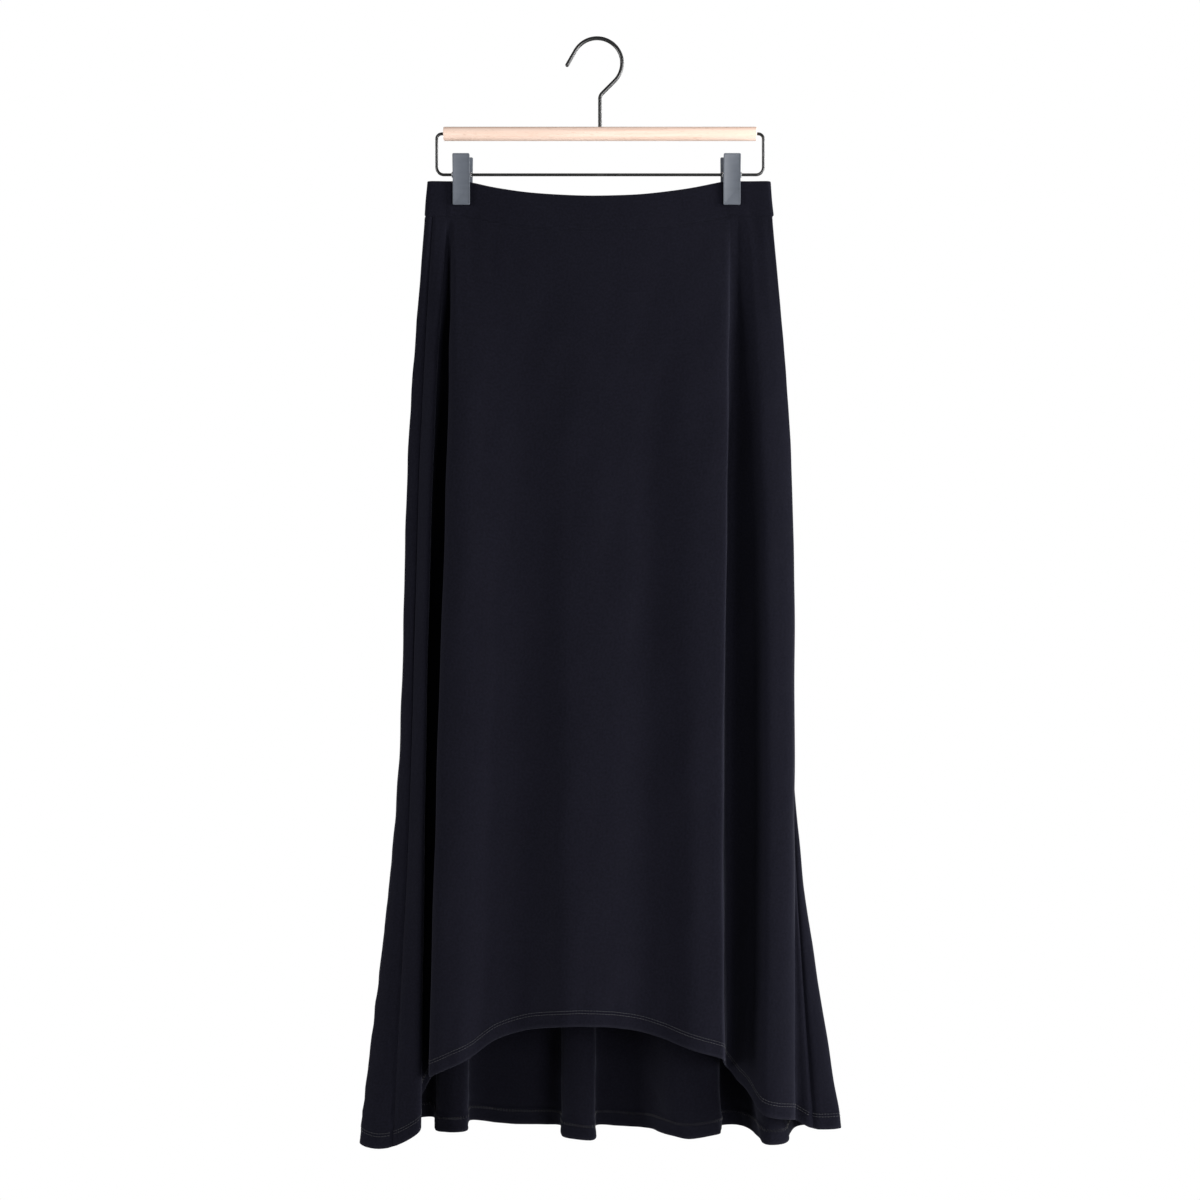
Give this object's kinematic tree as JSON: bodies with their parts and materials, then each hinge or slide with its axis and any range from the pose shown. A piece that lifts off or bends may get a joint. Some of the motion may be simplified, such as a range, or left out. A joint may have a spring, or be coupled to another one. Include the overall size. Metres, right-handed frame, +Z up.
{
  "type": "maxi skirt on a clip hanger",
  "caption": "Long dark jersey skirt with a plain waistband and a hem cut higher in front, hung flat by its waist from a clip hanger.",
  "frame": {"origin": "the point under the top of the hanger's hook where it bears on what it hangs from", "axes": "+Z up, +X to the right of a person facing the skirt's front, so the front faces -Y"},
  "size_m": [0.5204, 0.1024, 1.1961],
  "materials": {
    "jersey": "matte knit",
    "lacquered_wire": "satin black",
    "beech": "pale, matte",
    "clip_plastic": "satin slate grey",
    "spring_steel": "bright"
  },
  "bodies": {
    "root": {"waistband": "jersey", "front_panel": "jersey", "back_panel": "jersey", "hanger_hook": "lacquered_wire", "hanger_frame": "lacquered_wire", "hanger_dowel": "beech", "clip_left_front_jaw": "clip_plastic", "clip_left_rear_jaw": "clip_plastic", "clip_right_front_jaw": "clip_plastic", "clip_right_rear_jaw": "clip_plastic", "clip_left_spring": "spring_steel", "clip_right_spring": "spring_steel"}
  },
  "joints": []
}
